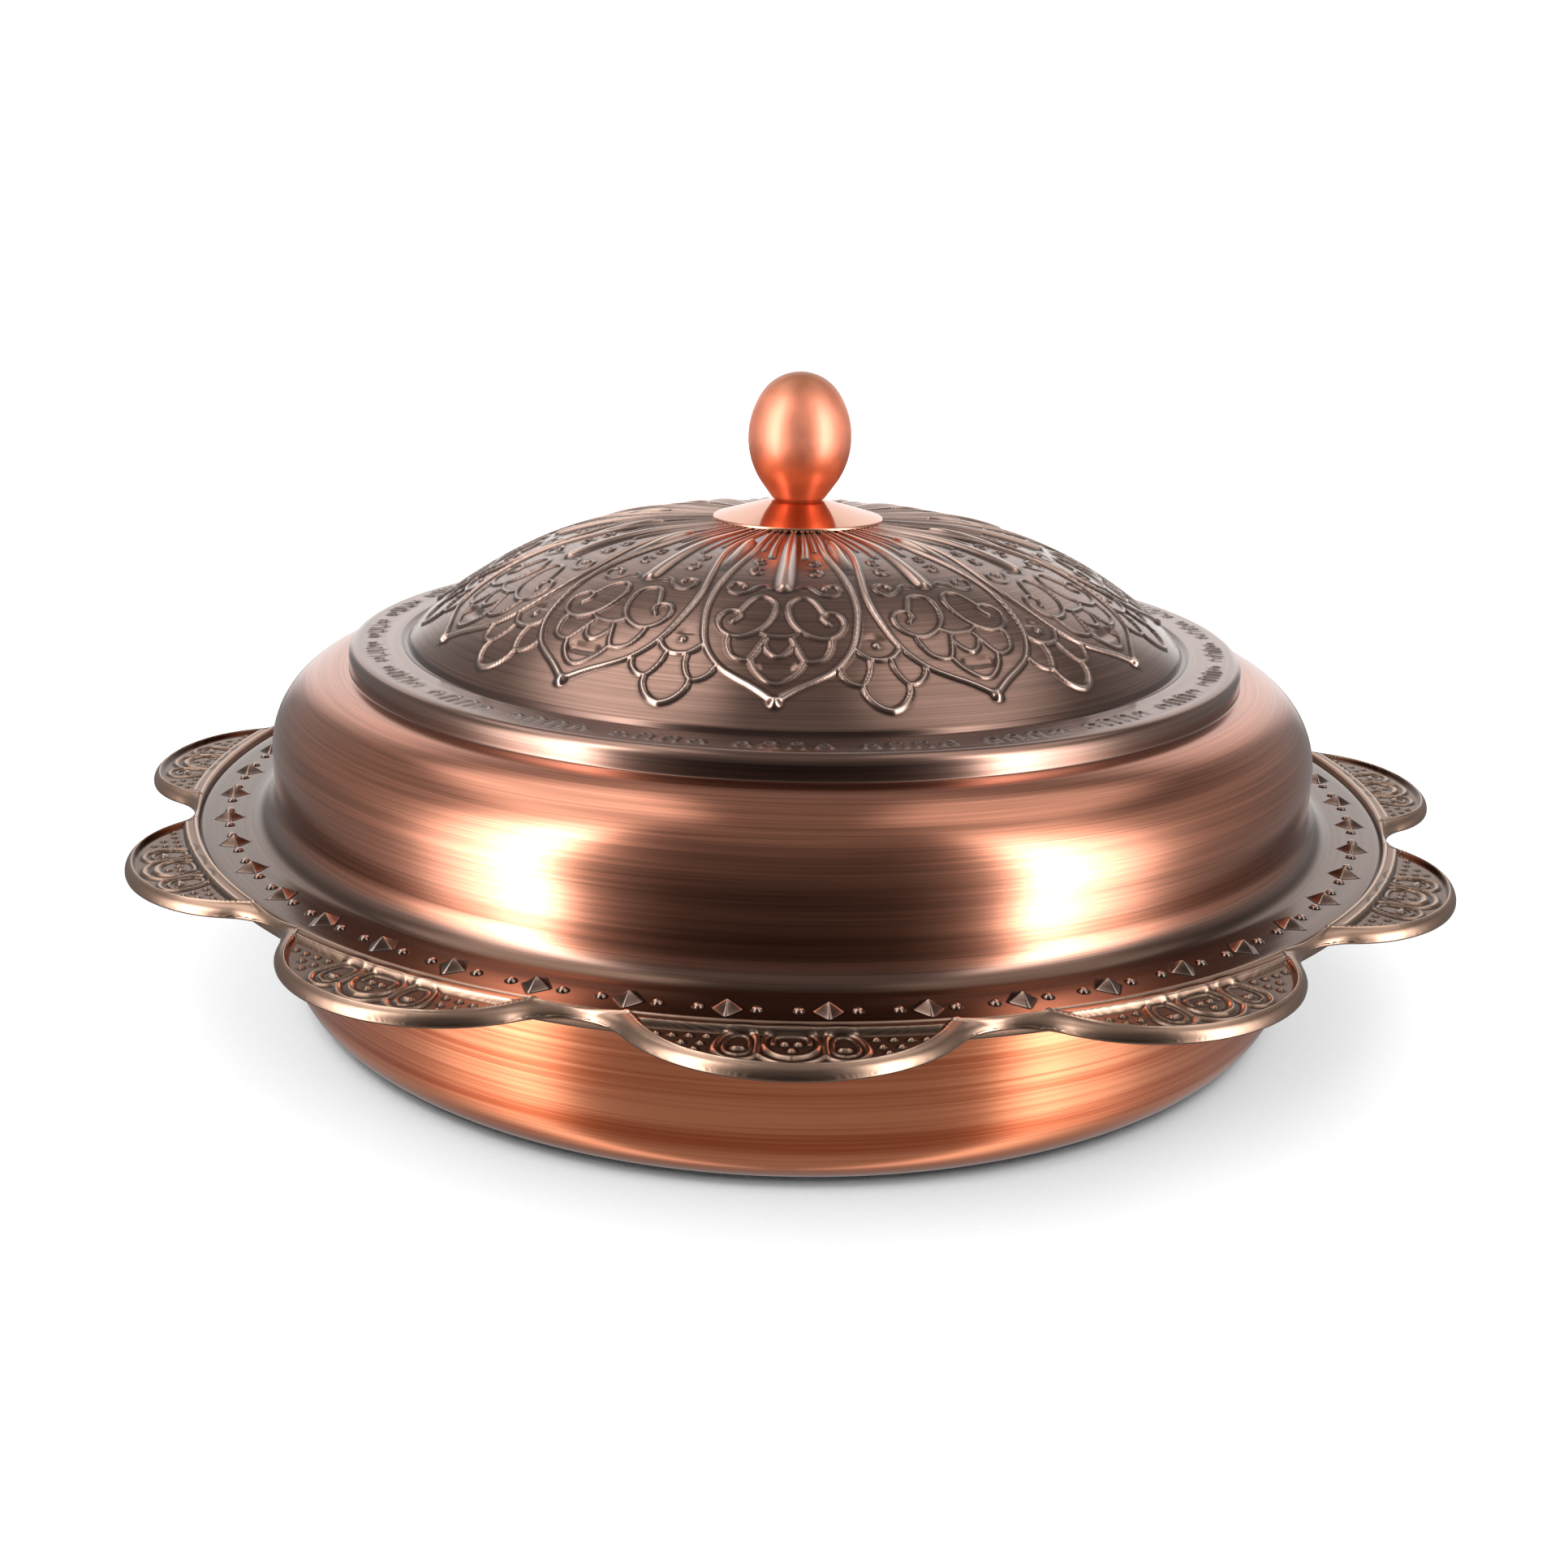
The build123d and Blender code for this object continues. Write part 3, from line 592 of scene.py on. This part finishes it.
def makeRim():
    line, along = halfOutline()
    v = np.linspace(0, 1, rim["columns"] + 1)
    u = 0.78 * v + 0.22 * v ** 3                       # closer together where the ornament is
    phi = u * pi / rim["lobes"]
    radial = np.column_stack([np.sin(phi), np.cos(phi)])
    inner = rim["stepR"] * radial
    plain = rim["stepR"] * pi / rim["lobes"]
    at = plain * u + (along[-1] - plain) * u ** 4
    outer = np.column_stack([np.interp(at, along, line[:, 0]), np.interp(at, along, line[:, 1])])
    # the next lobe's side also bounds the valley
    valley = 2 * pi / rim["lobes"]
    turned = np.column_stack([-line[:, 0] * cos(valley) + line[:, 1] * sin(valley),
                              line[:, 0] * sin(valley) + line[:, 1] * cos(valley)])
    edges = np.vstack([line[::8], turned[::8]])
    t = np.concatenate([np.linspace(0, rim["rollFrom"], rim["rows"]),
                        1 - (1 - rim["rollFrom"]) * (1 - np.linspace(0, 1, rim["rollRows"] + 1)[1:]) ** 2])
    flat = inner + t[:, None, None] * (outer - inner)
    gap = nearestGap(flat, edges)
    gap[-1] = 0
    points, crest, shelter = wholeRim(flat, *rimTop(flat, gap))
    top = {"points": points, "crest": crest, "shelter": shelter}
    # seat and step, from the inner edge out
    innerR, stepR, seatZ = rim["innerR"], rim["stepR"], rim["seatZ"]
    underZ = seatZ - rim["sheet"]
    seatR, seatHigh = np.array([
        (innerR, underZ), (innerR, seatZ - 0.2), (innerR + 0.2, seatZ), (innerR + 4, seatZ),
        (stepR - 2, seatZ), (stepR - 0.25, seatZ), (stepR, seatZ + 0.25),
        (stepR, rim["topZ"] - rim["stepRound"])]).T
    seat = {"points": wholeRim(seatR[:, None, None] * radial, seatHigh[:, None] + 0 * phi)[0]}
    # underside: the sheet's other face, hollow under the rolled border
    back = np.concatenate([[1.0], np.linspace(0.995, 0.86, 10), np.linspace(0.84, 0.08, 14)])
    plan = inner + back[:, None, None] * (outer - inner)
    gap = nearestGap(plan, edges)
    z = borderHeight(plan, gap)[0] - rim["sheet"]
    z = np.where(gap < 0.6, rim["lowZ"], np.clip(z, rim["lowZ"], rim["topZ"] - rim["sheet"]))
    z[0] = rim["edgeZ"]
    footR, footZ = np.array([(stepR + rim["sheet"], rim["lowZ"]), (stepR + rim["sheet"], underZ),
                             (innerR, underZ)]).T
    plan = np.concatenate([plan, footR[:, None, None] * radial])
    z = np.vstack([z, footZ[:, None] + 0 * phi])
    return buildPiece("scalloped_rim_pressed", [top, seat, {"points": wholeRim(plan, z)[0]}])


# Pan, rosette and knob are spun or turned: one profile each
pan = {"mouthR": 103.0, "cornerR": 8.5, "baseR": 92.6, "lipR": 112.0, "bend": 2.0, "lipZ": 33.0,
       "sheet": 1.0, "columns": 480}
disc = {"r": 16.65, "thick": 0.8, "flatR": 5.3, "holeR": 2.2, "soften": 0.15, "columns": 256}
knob = {"r": 10.0, "footR": 5.06, "high": 24.35, "wideZ": 12.0, "sideR": 15.1, "columns": 192}
axisR = 0.05      # a profile that closes on the axis ends this near to it


def makeBowl():
    bendR, bendZ = pan["mouthR"] + pan["bend"], pan["lipZ"] - pan["bend"]
    across, up = bendR - pan["baseR"], bendZ - pan["cornerR"]
    lean = degrees(atan2(across, up) - asin((pan["cornerR"] + pan["bend"]) / hypot(across, up)))

    def wall(inset):
        corner = arcPoints((pan["baseR"], pan["cornerR"]), pan["cornerR"] - inset, -90, -lean, 20)
        bend = arcPoints((bendR, bendZ), pan["bend"] + inset, 180 - lean, 90, 10)
        flatEnd = (pan["baseR"] - 6, inset)
        return np.vstack([[(axisR, inset)], linePoints((axisR, inset), flatEnd, 8),
                          linePoints(flatEnd, corner[0], 2)[:-1], corner,
                          linePoints(corner[-1], bend[0], 8)[:-1], bend,
                          linePoints(bend[-1], (pan["lipR"] - 0.3, pan["lipZ"] + inset), 2)])
    lip = [(pan["lipR"], pan["lipZ"] + 0.7), (pan["lipR"], pan["lipZ"] + 0.3)]
    return spunPiece("bowl_spun", np.vstack([wall(pan["sheet"]), lip, wall(0)[::-1]]), pan["columns"])


def makeRosette():
    # a low cone: flat under the knob, its rounded edge on the dome
    low, high = (corner.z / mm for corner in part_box("rosette"))
    half, holeR, flatR, soften = disc["thick"] / 2, disc["holeR"], disc["flatR"], disc["soften"]
    edge = np.array([disc["r"] - half, low + half])
    slope = atan2(high - half - edge[1], edge[0] - flatR)
    across = half * np.array([sin(slope), cos(slope)])
    bend = half * tan(slope / 2)
    coneTop = (flatR + bend + soften, high - soften * sin(slope))
    profile = np.vstack([
        [(holeR, high - 2 * half), (holeR, high)],
        linePoints((holeR, high), (flatR + bend - soften, high), 3),
        [coneTop],
        linePoints(coneTop, edge + across + (-0.3, 0.3 * sin(slope)), 6),
        arcPoints(edge, half, 90 - degrees(slope), -90 - degrees(slope), 14),
        linePoints(edge - across, (flatR - bend, high - 2 * half), 4),
        [(holeR, high - 2 * half)],
    ])
    return spunPiece("rosette_polished", profile, disc["columns"])


def makeKnob():
    sideX = knob["r"] - knob["sideR"]
    footX = knob["footR"] - sideX
    taper = atan2(knob["wideZ"], footX) - acos(knob["sideR"] / hypot(footX, knob["wideZ"]))
    taperEnd = (sideX + knob["sideR"] * cos(taper), knob["wideZ"] - knob["sideR"] * sin(taper))
    crown = knob["high"] - knob["wideZ"]
    capR = (knob["sideR"] ** 2 - sideX ** 2 - crown ** 2) / (2 * (knob["sideR"] - crown))
    capZ = knob["high"] - capR
    turn = degrees(atan2(capZ - knob["wideZ"], -sideX))
    footR = knob["footR"]
    profile = np.vstack([
        [(axisR, knob["high"])], arcPoints((0, capZ), capR, 88, turn, 26),
        arcPoints((sideX, knob["wideZ"]), knob["sideR"], turn, -degrees(taper), 44)[1:],
        linePoints(taperEnd, (footR + 0.15, 0.5), 6),
        [(footR, 0.38), (footR - 0.35, 0.34), (footR - 0.35, 0.0), (2.0, 0.0)],
    ])
    return spunPiece("knob_turned", profile + (0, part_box("knob")[0].z / mm), knob["columns"])


# Finishes. Brush lines are drawn 0.3 to 0.5 mm wide, coarser than the real scratches, so that they show
rgba = {"data_type": "RGBA"}
multiply = {"data_type": "RGBA", "blend_type": "MULTIPLY"}
smooth = {"interpolation_type": "SMOOTHSTEP"}
fineBump = 0.02 * mm      # depth of the brush's scratches


def setRamp(ramp, stops):
    # stops: (position, colour) from left to right
    elements = ramp.color_ramp.elements
    while len(elements) < len(stops):
        elements.new(0.5)
    for element, (position, colour) in zip(elements, stops):
        element.position = position
        element.color = colour


def finish(tree, kind, inputs):
    shader = addNode(tree, kind, None, inputs)
    addNode(tree, "OutputMaterial", None, {"Surface": shader.outputs[0]})


def brushLines(tree, long, wide, detail):
    # noise drawn out into circular brush lines: long and wide in mm at 100 mm from the axis
    place = addNode(tree, "TexCoord").outputs["Object"]
    flat = addNode(tree, "VectorMath", {"operation": "MULTIPLY"}, {0: place, 1: (1, 1, 0)}).outputs[0]
    radius = addNode(tree, "VectorMath", {"operation": "LENGTH"}, {0: flat}).outputs["Value"]
    around = addNode(tree, "VectorMath", {"operation": "NORMALIZE"}, {0: flat}).outputs[0]
    around = addNode(tree, "VectorMath", {"operation": "SCALE"}, {0: around, "Scale": 100 / long})
    height = addNode(tree, "SeparateXYZ", None, {0: place}).outputs["Z"]
    profile = addNode(tree, "Math", {"operation": "SUBTRACT"}, {0: radius, 1: height}).outputs[0]
    profile = addNode(tree, "Math", {"operation": "MULTIPLY"}, {0: profile, 1: 1 / (wide * mm)}).outputs[0]
    lift = addNode(tree, "CombineXYZ", None, {"Z": profile}).outputs[0]
    vector = addNode(tree, "VectorMath", {"operation": "ADD"}, {0: around.outputs[0], 1: lift}).outputs[0]
    noise = addNode(tree, "TexNoise", None, {"Vector": vector, "Scale": 1.0, "Detail": detail})
    return noise.outputs["Fac"]


def antiqued(tree, body, shelter, dark, polish, pale):
    # the dark finish stays in the hollows and is rubbed off the ridges; the same dark colour also lays
    # painted shade and painted shadow rings
    body = addNode(tree, "Mix", rgba, {"Factor": shelter, "A": body, "B": linear(dark)}).outputs["Result"]
    return addNode(tree, "Mix", rgba, {"Factor": polish, "A": body, "B": linear(pale)}).outputs["Result"]


def brushedMetal(tree, colour, mottle, rough, lines, bump, anisotropy, lacquer, metallic=1.0):
    # copper brushed round and round: the grooves spread highlights across them. Roughness follows mottle
    rough = addNode(tree, "MapRange", None, {"Value": mottle, "To Min": rough[0], "To Max": rough[1]})
    tangent = addNode(tree, "Tangent", {"direction_type": "RADIAL", "axis": "Z"})
    inputs = {"Base Color": colour, "Roughness": rough.outputs[0], "Metallic": metallic,
              "Anisotropic": anisotropy, "Anisotropic Rotation": 0.25, "Tangent": tangent.outputs[0],
              "Coat Weight": lacquer, "Coat Roughness": 0.12}
    if bump:
        relief = addNode(tree, "Bump", None, {"Height": lines, "Strength": bump, "Distance": fineBump})
        inputs["Normal"] = relief.outputs[0]
    finish(tree, "BsdfPrincipled", inputs)


def brightCopper():
    # bare copper, spun and brushed: warm orange with long fine lines
    material, tree = newMaterial("spunCopper")
    fine, broad = brushLines(tree, 60, 0.5, 3.0), brushLines(tree, 140, 3.0, 2.0)
    streak = addNode(tree, "Math", {"operation": "MULTIPLY_ADD"}, {0: fine, 1: 0.8, 2: broad})
    ramp = addNode(tree, "ValToRGB", None, {"Fac": streak.outputs[0]})
    setRamp(ramp, [(0.62, linear("#bb5a33")), (1.0, linear("#e58d64"))])
    # painted shade: the bottom edge is darkened towards the floor, where the contact shadow dims what it
    # mirrors
    place = addNode(tree, "TexCoord").outputs["Object"]
    height = addNode(tree, "SeparateXYZ", None, {0: place}).outputs["Z"]
    footShade = addNode(tree, "MapRange", smooth, {"Value": height, "From Min": 6.5 * mm, "From Max": 0.5 * mm,
                                              "To Max": 0.8}).outputs[0]
    colour = addNode(tree, "Mix", rgba, {"Factor": footShade, "A": ramp.outputs[0], "B": linear("#7e4029")})
    brushedMetal(tree, colour.outputs["Result"], fine, (0.15, 0.22), fine, 0.12, 0.45, 0.35)
    return material


def antiqueLid():
    # copper darkened with a sulphur bath, then brushed back: dark in the hollows, pale on the ridges. The
    # dark colour also paints shade in the dome's groove, on the studs' lid side and round studs and beads
    material, tree = newMaterial("antiquedCopper")
    fine, broad = brushLines(tree, 45, 0.45, 3.0), brushLines(tree, 90, 1.6, 3.0)
    patina, crest, shelter = (addNode(tree, "Attribute", {"attribute_name": name}).outputs["Fac"]
                              for name in ("patina", "crest", "shelter"))
    bath = addNode(tree, "ValToRGB", None, {"Fac": patina})
    setRamp(bath, [(0.0, linear("#b97a61")), (lid["patina"], linear("#8b6c5f")), (1.0, linear("#634a3c"))])
    streak = addNode(tree, "Math", {"operation": "MULTIPLY_ADD"}, {0: fine, 1: 1.2, 2: broad}).outputs[0]
    streak = addNode(tree, "MapRange", None, {"Value": streak, "From Min": 0.8, "From Max": 1.4,
                                              "To Min": 0.7, "To Max": 1.2})
    body = addNode(tree, "Mix", multiply, {"Factor": 1.0, "A": bath.outputs[0], "B": streak.outputs[0]})
    polish = addNode(tree, "Math", {"operation": "POWER"}, {0: crest, 1: 1.5}).outputs[0]
    colour = antiqued(tree, body.outputs["Result"], shelter, "#33241f", polish, "#cfb3a5")
    brushedMetal(tree, colour, fine, (0.16, 0.24), fine, 0.2, 0.75, 0.25)
    return material


def antiqueRim():
    # a yellower copper alloy, browned in a bath: dark in the panels, buffed bright on its rolled edge.
    # The brown clouds over about 17 mm, and pressing left soft dents about 4 mm across
    material, tree = newMaterial("antiquedBronze")
    place = addNode(tree, "TexCoord").outputs["Object"]
    cloud = addNode(tree, "TexNoise", None, {"Vector": place, "Scale": 1 / (16.667 * mm), "Detail": 4.0})
    ramp = addNode(tree, "ValToRGB", None, {"Fac": cloud.outputs["Fac"]})
    setRamp(ramp, [(0.3, linear("#806555")), (0.75, linear("#997967"))])
    crest, shelter = (addNode(tree, "Attribute", {"attribute_name": name}).outputs["Fac"]
                      for name in ("crest", "shelter"))
    colour = antiqued(tree, ramp.outputs[0], shelter, "#3a2b22", crest, "#d0ae98")
    rough = addNode(tree, "MapRange", None, {"Value": crest, "To Min": 0.32, "To Max": 0.15}).outputs[0]
    dents = addNode(tree, "TexNoise", None, {"Vector": place, "Scale": 1 / (3.846 * mm), "Detail": 2.0})
    relief = addNode(tree, "Bump", None, {"Height": dents.outputs["Fac"], "Strength": 0.25,
                                          "Distance": 0.2 * mm})
    finish(tree, "BsdfPrincipled", {"Base Color": colour, "Metallic": 1.0, "Roughness": rough,
                                    "Normal": relief.outputs[0]})
    return material


def polishedCopper():
    # mirror-polished disc with the faintest turning lines
    material, tree = newMaterial("polishedCopper")
    fine = brushLines(tree, 200, 0.3, 2.0)
    brushedMetal(tree, linear("#e1a98f"), fine, (0.08, 0.14), fine, 0, 0.3, 0.0)
    return material


def satinCopper():
    # turned and rubbed to a satin: soft, wide highlights and 4 to 5 mm mottles. Its lower part is a painted
    # reflection of the copper lid in deeper orange, it is paler above, and darker towards its tip
    material, tree = newMaterial("satinCopper")
    place = addNode(tree, "TexCoord").outputs["Object"]
    mottle = addNode(tree, "TexNoise", None, {"Vector": place, "Scale": 1 / (4.5455 * mm), "Detail": 3.0})
    mottle = mottle.outputs["Fac"]
    height = addNode(tree, "SeparateXYZ", None, {0: place}).outputs["Z"]
    low, top = (corner.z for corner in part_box("knob"))
    # deeper orange below as a painted reflection of the lid, paler from the widest part up, darker at the
    # tip
    colour = linear("#d9683f")
    for start, end, above in ((low + 6 * mm, low + 12.5 * mm, "#e18a6c"),
                              (top - 5.5 * mm, top - 1.5 * mm, "#b4704f")):
        share = addNode(tree, "MapRange", smooth, {"Value": height, "From Min": start, "From Max": end})
        colour = addNode(tree, "Mix", rgba, {"Factor": share.outputs[0], "A": colour,
                                             "B": linear(above)}).outputs["Result"]
    tone = addNode(tree, "MapRange", None, {"Value": mottle, "From Min": 0.3, "From Max": 0.7,
                                            "To Min": 0.82, "To Max": 1.08}).outputs[0]
    colour = addNode(tree, "Mix", multiply, {"Factor": 1.0, "A": colour, "B": tone}).outputs["Result"]
    brushedMetal(tree, colour, mottle, (0.42, 0.56), brushLines(tree, 30, 0.4, 2.0), 0.08, 0.0, 0.25, 0.8)
    return material


def zincSteel():
    # plated screw and washer: cool grey with a spangle of about 1 mm
    material, tree = newMaterial("zincPlatedSteel")
    place = addNode(tree, "TexCoord").outputs["Object"]
    cloud = addNode(tree, "TexNoise", None, {"Vector": place, "Scale": 1 / (1.111 * mm), "Detail": 2.0})
    rough = addNode(tree, "MapRange", None, {"Value": cloud.outputs["Fac"], "To Min": 0.25, "To Max": 0.45})
    finish(tree, "BsdfPrincipled", {"Base Color": linear("#a9abad"), "Metallic": 1.0,
                                    "Roughness": rough.outputs[0]})
    return material


# Camera and light. The camera's place is in metres, its lens in mm; the studio's pieces are in mm
studio = {
    "cameraAt": (0, -0.32135, 0.1385), "lens": 37.56, "sensor": 36.0, "right": (0.99967, 0.01197, 0.02289),
    "up": (-0.02547, 0.30832, 0.95094), "forward": (-0.00433, 0.95121, -0.30852),
    "roomR": 3000, "roomGlow": 1.25, "softR": 1500, "softTop": 900, "softGlow": 3.5,
    "form": [(0.5, 34), (105, 34), (103, 31), (101.5, 8.5), (100.4, 3.5), (99, 1.2), (97.5, 0.5),
             (0.5, 0.3)],
}
# Glow of the tent that the metal mirrors, by degrees from straight in front, and of its other parts.
# Heights are those of the direction looked in, from -1 straight down to 1 straight up
tent = {
    "around": [(0, 0.0), (23, 0.02), (31, 0.16), (36, 0.32), (41, 0.8), (45, 2.2), (49, 7.0), (52, 11.0),
               (58, 11.0), (62, 7.0), (68, 5.0), (75, 2.8), (83, 0.8), (93, 0.42), (106, 0.3), (121, 0.24),
               (180, 0.22)],
    "rampTop": 12.0,          # the ramp holds at most 1, which stands for this glow
    "tableFrom": (-0.44, -0.58), "tableDim": 0.9, "tableShift": 5, "table": 0.32, "beam": 0.2,
    "low": 0.04, "front": 0.12, "frontFrom": (-0.1, 0.2), "rightDim": 0.45, "rightFrom": (0.35, 0.7),
    "roofFrom": (0.55, 0.95), "roof": 0.33, "bars": (2.0, 1.1), "barsAt": (0.12, 0.3, 1.15, 0.65),
    "back": 0.85,
}


def emission(name, strength):
    material, tree = newMaterial(name)
    finish(tree, "Emission", {"Color": (1, 1, 1, 1), "Strength": strength})
    return material


def stagePiece(name, profile, columns, material, *unseenBy):
    piece = spunPiece(name, profile, columns)
    piece.data.materials.append(material)
    for ray in unseenBy:
        setattr(piece, "visible_" + ray, False)


def makeStudio():
    # matt white paper floor, far enough out to meet the white room
    paper, tree = newMaterial("mattPaper")
    place = addNode(tree, "TexCoord").outputs["Object"]
    grain = addNode(tree, "TexNoise", None, {"Vector": place, "Scale": 1 / (1.111 * mm), "Detail": 2.0})
    colour = addNode(tree, "MapRange", {"data_type": "FLOAT_VECTOR"},
                     {"Vector": grain.outputs["Fac"], "To Min": (0.79,) * 3, "To Max": (0.83,) * 3})
    finish(tree, "BsdfPrincipled", {"Base Color": colour.outputs["Vector"], "Roughness": 0.9,
                                    "Specular IOR Level": 0.0})
    stagePiece("floor", [(studio["roomR"], 0), (1000, 0), (500, 0), (200, 0), (1, 0)], 64, paper, "glossy")
    # black form inside the dish: only the paper sees it, and it keeps the contact shadow grey
    felt, tree = newMaterial("blackFelt")
    finish(tree, "BsdfDiffuse", {"Color": (0.03, 0.03, 0.03, 1)})
    stagePiece("shadow_form", studio["form"], 96, felt, "camera", "glossy", "transmission")
    # low ring of soft light on the paper, reaching under the rim; the metal doesn't mirror it
    softRing = [(studio["softR"], 1), (studio["softR"], studio["softTop"])]
    stagePiece("soft_ring", softRing, 64, emission("softWhite", studio["softGlow"]),
               "camera", "glossy", "transmission")
    # white room for the camera alone; the metal mirrors the world below instead
    a = np.radians(np.linspace(0, 89.9, 24))
    dome = studio["roomR"] * np.column_stack([np.cos(a), np.sin(a)])
    stagePiece("room", dome, 64, emission("whiteRoom", studio["roomGlow"]), "glossy", "diffuse", "shadow")
    bpy.context.scene.view_settings.view_transform = "Standard"


def makeWorld():
    # what the metal mirrors: a tent with a dark front opening, a bright strip at each side of it that runs
    # up and over the dish, duller side walls and a white back wall
    world = bpy.data.worlds.new("lightTent")
    bpy.context.scene.world = world
    world.use_nodes = True
    tree = world.node_tree
    tree.nodes.clear()
    parts = addNode(tree, "SeparateXYZ", None, {0: addNode(tree, "TexCoord").outputs["Generated"]})
    ramp = addNode(tree, "ValToRGB")
    ramp.color_ramp.interpolation = "B_SPLINE"
    setRamp(ramp, [(angle / 180, [glow / tent["rampTop"]] * 3 + [1]) for angle, glow in tent["around"]])
    near, far, farther, fartherEnd = tent["barsAt"]
    # name, operation and terms of each step; a word is the result of a step above it, and EASE is a smooth
    # step up from the second term to the third
    steps = [
        # turn: 0 straight in front, 1 straight behind. table: 1 for what lies below the tent's walls
        ("turn", "MULTIPLY", "y", -1.0), ("turn", "ARCTAN2", "x", "turn"), ("turn", "ABSOLUTE", "turn"),
        ("turn", "DIVIDE", "turn", pi), ("table", "EASE", "z", *tent["tableFrom"]),
        ("rampAt", "MULTIPLY_ADD", "table", -tent["tableShift"] / 180, "turn"),
        # strips and side walls, dimmed below, then the dark front and the white table
        ("glow", "MULTIPLY", "strips", tent["rampTop"]), ("dim", "MULTIPLY", "table", tent["tableDim"]),
        ("dim", "SUBTRACT", 1.0, "dim"), ("glow", "MULTIPLY", "glow", "dim"),
        ("part", "EASE", "z", *tent["frontFrom"], tent["low"], tent["front"]),
        ("glow", "ADD", "glow", "part"),
        ("beam", "EASE", "turn", 45 / 180, 52 / 180), ("part", "EASE", "turn", 110 / 180, 60 / 180),
        ("part", "MULTIPLY", "beam", "part"), ("part", "MULTIPLY_ADD", "part", tent["beam"], tent["table"]),
        ("glow", "MULTIPLY_ADD", "table", "part", "glow"),
        # the strip on the right fades sooner towards the top
        ("dim", "EASE", "z", *tent["rightFrom"]), ("part", "EASE", "x", 0.0, 0.3, 0.0, tent["rightDim"]),
        ("dim", "MULTIPLY", "dim", "part"), ("dim", "SUBTRACT", 1.0, "dim"),
        ("glow", "MULTIPLY", "glow", "dim"),
        # roof in place of the walls, with a bar over each side of the dish
        ("roof", "EASE", "z", *tent["roofFrom"]), ("dim", "SUBTRACT", 1.0, "roof"),
        ("glow", "MULTIPLY", "glow", "dim"), ("glow", "MULTIPLY_ADD", "roof", tent["roof"], "glow"),
        ("lean", "ABSOLUTE", "x"), ("part", "MAXIMUM", "z", 0.1), ("lean", "DIVIDE", "lean", "part"),
        ("bars", "EASE", "x", -0.1, 0.1, *tent["bars"]), ("part", "EASE", "lean", near, far),
        ("bars", "MULTIPLY", "bars", "part"), ("part", "EASE", "lean", farther, fartherEnd),
        ("bars", "MULTIPLY", "bars", "part"), ("part", "EASE", "z", 0.55, 0.78),
        ("bars", "MULTIPLY", "bars", "part"), ("part", "EASE", "y", -0.25, 0.0),
        ("bars", "MULTIPLY", "bars", "part"), ("part", "EASE", "y", 0.54, 0.38),
        ("glow", "MULTIPLY_ADD", "bars", "part", "glow"),
        # back wall
        ("turn", "MULTIPLY_ADD", "z", 0.12, "turn"), ("back", "EASE", "turn", 0.81, 0.87),
        ("part", "EASE", "z", -0.17, -0.13), ("back", "MULTIPLY", "back", "part"),
        ("part", "EASE", "z", 0.72, 0.5), ("back", "MULTIPLY", "back", "part"),
        ("glow", "MULTIPLY_ADD", "back", tent["back"], "glow"),
    ]
    results = dict(zip("xyz", parts.outputs), strips=ramp.outputs[0])
    for name, operation, *terms in steps:
        terms = [results[term] if isinstance(term, str) else term for term in terms]
        if operation == "EASE":
            names = ("Value", "From Min", "From Max", "To Min", "To Max")
            node = addNode(tree, "MapRange", smooth, dict(zip(names, terms)))
        else:
            node = addNode(tree, "Math", {"operation": operation}, dict(enumerate(terms)))
        results[name] = node.outputs[0]
    tree.links.new(results["rampAt"], ramp.inputs["Fac"])
    background = addNode(tree, "Background", None, {"Color": results["glow"], "Strength": 1.0})
    addNode(tree, "OutputWorld", None, {"Surface": background.outputs[0]})


def makeCamera():
    data = bpy.data.cameras.new("frontCamera")
    data.sensor_fit = "HORIZONTAL"
    data.lens, data.sensor_width = studio["lens"], studio["sensor"]
    data.clip_start, data.clip_end = 0.01, 20
    camera = bpy.data.objects.new("frontCamera", data)
    bpy.context.scene.collection.objects.link(camera)
    right, up, forward = (Vector(studio[k]).normalized() for k in ("right", "up", "forward"))
    turn = Matrix((right, up, -forward)).transposed().to_4x4()
    camera.matrix_world = Matrix.Translation(studio["cameraAt"]) @ turn
    bpy.context.scene.camera = camera


makeCamera()
makeStudio()
makeWorld()
print("camera, floor and light tent ready")
lidMetal = antiqueLid()
place(makeLid(), "lid", "lid_shell", "antique_copper_lid", lidMetal)
place(makeStuds(), "lid", None, "antique_copper_lid", lidMetal, False)
place(makeBeads(), "lid", None, "antique_copper_lid", lidMetal, False)
print("lid pressed, studded and beaded")
place(makeRim(), "dish", "scalloped_rim", "antique_copper_rim", antiqueRim(), False)
place(makeBowl(), "dish", "bowl", "bright_copper", brightCopper())
place(makeRosette(), "lid", "rosette", "polished_copper", polishedCopper())
place(makeKnob(), "lid", "knob", "satin_copper", satinCopper())
steel = zincSteel()
for node in ("knob_screw", "washer"):
    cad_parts[node].data.materials.clear()
    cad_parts[node].data.materials.append(steel)
print("dish, knob, screw and washer placed")
